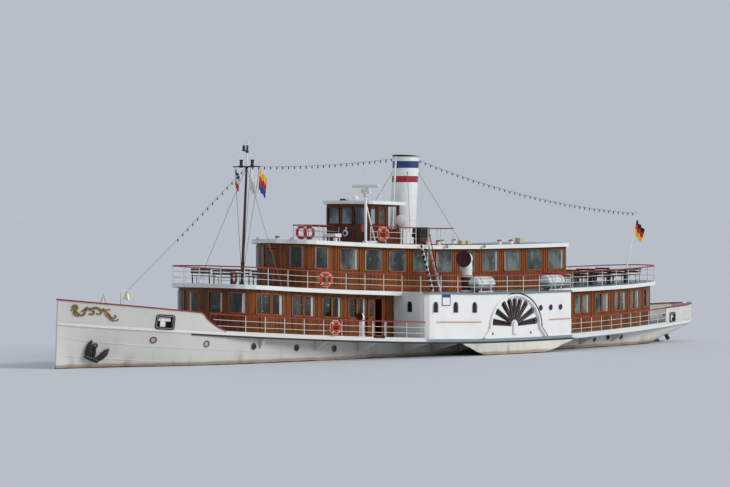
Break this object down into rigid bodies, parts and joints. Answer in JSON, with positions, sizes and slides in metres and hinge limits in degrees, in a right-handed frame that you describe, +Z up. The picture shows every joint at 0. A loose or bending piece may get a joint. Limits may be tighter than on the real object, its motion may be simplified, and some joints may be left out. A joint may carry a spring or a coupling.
{
  "type": "1:2 scale model paddle steamer",
  "caption": "River paddle steamer with side wheels in paddle boxes, wooden deckhouses, an upper saloon, a wheelhouse, a tall funnel, a mast and railed decks.",
  "frame": {"origin": "on the centre line at the waterline, amidships", "axes": "+X forward along the keel, +Y to port, +Z up from the waterline"},
  "size_m": [25.8603, 5.53, 6.6052],
  "materials": {
    "hull_paint": "semi-gloss off-white paint",
    "house_paint": "semi-gloss white paint",
    "cream_paint": "semi-gloss cream paint",
    "varnished_wood": "varnished brown wood",
    "dark_wood": "varnished dark wood",
    "guard_paint": "grey-blue paint",
    "window_glass": "clear window glass",
    "black_iron": "black paint",
    "rail_paint": "dull red rail paint over white posts",
    "red_paint": "matt dark red paint",
    "canister_plastic": "white moulded plastic",
    "steel": "bare steel",
    "flag_cloth": "woven flag cloth"
  },
  "bodies": {
    "ship": {"hull": "hull_paint", "main_deck": "guard_paint", "bow_bulwark": "hull_paint", "stern_bulwark": "hull_paint", "engine_block": "black_iron", "shaft_bearing_port": "steel", "shaft_bearing_starboard": "steel", "paddle_box_port": "house_paint", "paddle_box_starboard": "house_paint", "splash_plate_port": "cream_paint", "splash_plate_starboard": "cream_paint", "fore_deckhouse": "varnished_wood", "fore_deckhouse_glass": "window_glass", "aft_deckhouse": "varnished_wood", "aft_deckhouse_glass": "window_glass", "promenade_deck": "house_paint", "upper_saloon": "varnished_wood", "upper_saloon_glass_port": "window_glass", "upper_saloon_glass_starboard": "window_glass", "boat_deck": "house_paint", "wheelhouse": "dark_wood", "wheelhouse_glass": "window_glass", "wheelhouse_roof": "house_paint", "funnel": "house_paint", "mast": "dark_wood", "radar_post": "house_paint", "bell_davit": "house_paint", "windlass": "black_iron", "flagstaff": "house_paint", "ensign": "flag_cloth", "vent_cowl_port": "house_paint", "vent_cowl_starboard": "house_paint", "life_raft_fore_port": "canister_plastic", "life_raft_aft_port": "canister_plastic", "life_raft_fore_starboard": "canister_plastic", "life_raft_aft_starboard": "canister_plastic", "stair_port": "house_paint", "stair_starboard": "house_paint", "anchor_port": "black_iron", "anchor_starboard": "black_iron", "main_rail_fore_port": "rail_paint", "main_rail_fore_starboard": "rail_paint", "main_rail_aft_port": "rail_paint", "main_rail_aft_starboard": "rail_paint", "promenade_rail": "rail_paint", "boat_deck_rail_fore": "rail_paint", "boat_deck_rail_aft": "rail_paint"},
    "paddle_wheels": {"paddle_shaft": "steel", "paddle_wheel_port": "red_paint", "paddle_wheel_starboard": "red_paint"},
    "rudder": {"rudder": "red_paint"},
    "radar_scanner": {"radar_scanner": "house_paint"},
    "saloon_door": {"saloon_door": "varnished_wood"},
    "side_door_port": {"side_door_port": "varnished_wood"},
    "wheelhouse_door_port": {"wheelhouse_door_port": "dark_wood"},
    "gate_port": {"gate_port": "rail_paint"},
    "side_door_starboard": {"side_door_starboard": "varnished_wood"},
    "wheelhouse_door_starboard": {"wheelhouse_door_starboard": "dark_wood"},
    "gate_starboard": {"gate_starboard": "rail_paint"}
  },
  "joints": [
    {"name": "paddle_wheels_turn", "type": "hinge", "parent": "ship", "child": "paddle_wheels", "pos_m": [-1.6, 0, 0.625], "axis": [0, 1, 0], "continuous": true},
    {"name": "rudder_turn", "type": "hinge", "parent": "ship", "child": "rudder", "pos_m": [-10.925, 0, 0], "axis": [0, 0, 1], "range_deg": [-35, 35]},
    {"name": "radar_turn", "type": "hinge", "parent": "ship", "child": "radar_scanner", "pos_m": [2.75, 1.1, 4.6], "axis": [0, 0, 1], "continuous": true},
    {"name": "side_door_port_swing", "type": "hinge", "parent": "ship", "child": "side_door_port", "pos_m": [2.81, 1.48, 1.1], "axis": [0, 0, 1], "range_deg": [0, 178]},
    {"name": "wheelhouse_door_port_swing", "type": "hinge", "parent": "ship", "child": "wheelhouse_door_port", "pos_m": [1.99, 0.825, 3.6], "axis": [0, 0, -1], "range_deg": [0, 100]},
    {"name": "gate_port_swing", "type": "hinge", "parent": "ship", "child": "gate_port", "pos_m": [3.765, 2.3426, 0.9], "axis": [0, 0, 1], "range_deg": [0, 95]},
    {"name": "side_door_starboard_swing", "type": "hinge", "parent": "ship", "child": "side_door_starboard", "pos_m": [2.81, -1.48, 1.1], "axis": [0, 0, -1], "range_deg": [0, 178]},
    {"name": "wheelhouse_door_starboard_swing", "type": "hinge", "parent": "ship", "child": "wheelhouse_door_starboard", "pos_m": [1.99, -0.825, 3.6], "axis": [0, 0, 1], "range_deg": [0, 100]},
    {"name": "gate_starboard_swing", "type": "hinge", "parent": "ship", "child": "gate_starboard", "pos_m": [3.765, -2.3426, 0.9], "axis": [0, 0, -1], "range_deg": [0, 95]},
    {"name": "saloon_door_swing", "type": "hinge", "parent": "ship", "child": "saloon_door", "pos_m": [5.305, -0.21, 2.5], "axis": [0, 0, -1], "range_deg": [0, 95]}
  ]
}
